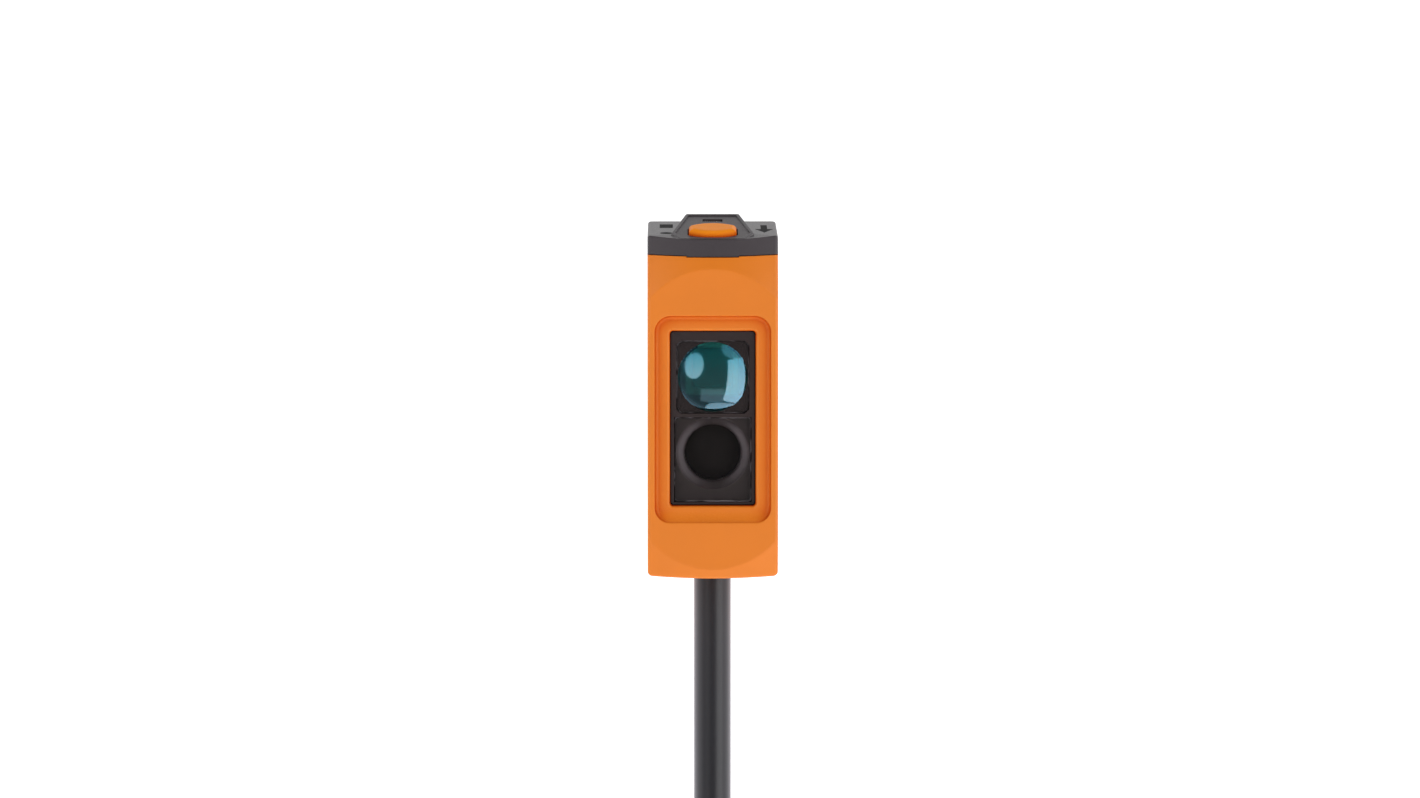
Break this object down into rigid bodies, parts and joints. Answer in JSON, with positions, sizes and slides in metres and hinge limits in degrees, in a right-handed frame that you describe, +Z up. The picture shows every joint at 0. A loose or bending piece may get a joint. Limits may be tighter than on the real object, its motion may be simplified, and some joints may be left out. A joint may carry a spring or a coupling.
{
  "type": "photoelectric sensor",
  "caption": "Miniature block-shaped photoelectric sensor with a receiver lens over an emitter window, a setting button in its top cap and a cable out of its foot.",
  "frame": {"origin": "midway between the two mounting holes, in the middle of the sensor's width", "axes": "+Z up towards the button, -Y the way the optics look, +X across the width and along the mounting holes"},
  "size_m": [0.013, 0.022, 0.0647],
  "materials": {
    "housing_plastic": "orange PBT, fine moulded texture",
    "cap_plastic": "dark grey, fine moulded texture",
    "button_plastic": "orange, satin",
    "gasket_rubber": "black elastomer",
    "gasket_foam": "black closed-cell foam",
    "seal_silicone": "translucent silicone",
    "board_laminate": "green solder mask",
    "switch_plastic": "black",
    "plunger_plastic": "ivory",
    "spring_steel": "polished spring steel",
    "sleeve_steel": "turned stainless steel",
    "lamp_plastic": "white with yellow phosphor",
    "guide_plastic": "clear polycarbonate",
    "carrier_plastic": "black, light-absorbing",
    "lens_acrylic": "clear acrylic, teal coating",
    "window_acrylic": "clear acrylic",
    "filter_acrylic": "dark red filter",
    "chip_carrier": "white ceramic",
    "silicon": "coated silicon",
    "emitter_resin": "clear resin on white",
    "pin_metal": "gold plated",
    "flex_polyimide": "amber polyimide",
    "shield_metal": "tin plated",
    "package_resin": "black moulding resin",
    "tantalum_resin": "yellow resin",
    "capacitor_ceramic": "tan ceramic, tinned ends",
    "resistor_ceramic": "black glaze, tinned ends",
    "solder": "bright solder",
    "clamp_metal": "nickel-plated brass",
    "jacket_plastic": "dark grey polyurethane",
    "insulation_brown": "brown",
    "insulation_white": "white",
    "insulation_blue": "blue",
    "insulation_black": "black",
    "tinned_copper": "tinned copper strands"
  },
  "bodies": {
    "case": {"housing": "housing_plastic", "top_cap": "cap_plastic", "cap_gasket": "gasket_rubber", "cable_seal": "gasket_rubber", "lens_gasket": "gasket_foam", "button_seal": "seal_silicone", "switch_board": "board_laminate", "optics_board": "board_laminate", "main_board": "board_laminate", "switch_body": "switch_plastic", "pin_header": "switch_plastic", "switch_dome": "spring_steel", "mounting_sleeves": "sleeve_steel", "indicator_led": "lamp_plastic", "light_guide": "guide_plastic", "optics_carrier": "carrier_plastic", "receiver_lens": "lens_acrylic", "emitter_window": "window_acrylic", "emitter_lens": "filter_acrylic", "photodiode_base": "chip_carrier", "photodiode_die": "silicon", "emitter_led": "emitter_resin", "board_pins": "pin_metal", "flex_link": "flex_polyimide", "receiver_shield": "shield_metal", "controller_chip": "package_resin", "output_driver": "package_resin", "surge_diode": "package_resin", "buffer_capacitor": "tantalum_resin", "small_capacitors": "capacitor_ceramic", "small_resistors": "resistor_ceramic", "solder_joints": "solder", "cable_clamp_ring": "clamp_metal", "cable_jacket": "jacket_plastic", "core_brown": "insulation_brown", "core_white": "insulation_white", "core_blue": "insulation_blue", "core_black": "insulation_black", "conductors": "tinned_copper"},
    "button": {"set_button": "button_plastic"},
    "plunger": {"switch_plunger": "plunger_plastic"}
  },
  "joints": [
    {"name": "button_press", "type": "slide", "parent": "case", "child": "button", "axis": [0, 0, -1], "range_m": [0, 0.00025], "stiffness_N_per_m": 5, "deforming": ["button_seal"]},
    {"name": "plunger_travel", "type": "slide", "parent": "case", "child": "plunger", "axis": [0, 0, -1], "range_m": [0, 0.00025], "deforming": ["switch_dome"]}
  ],
  "couplings": [
    {"joint": "plunger_travel", "follows": "button_press", "ratio": 1}
  ]
}
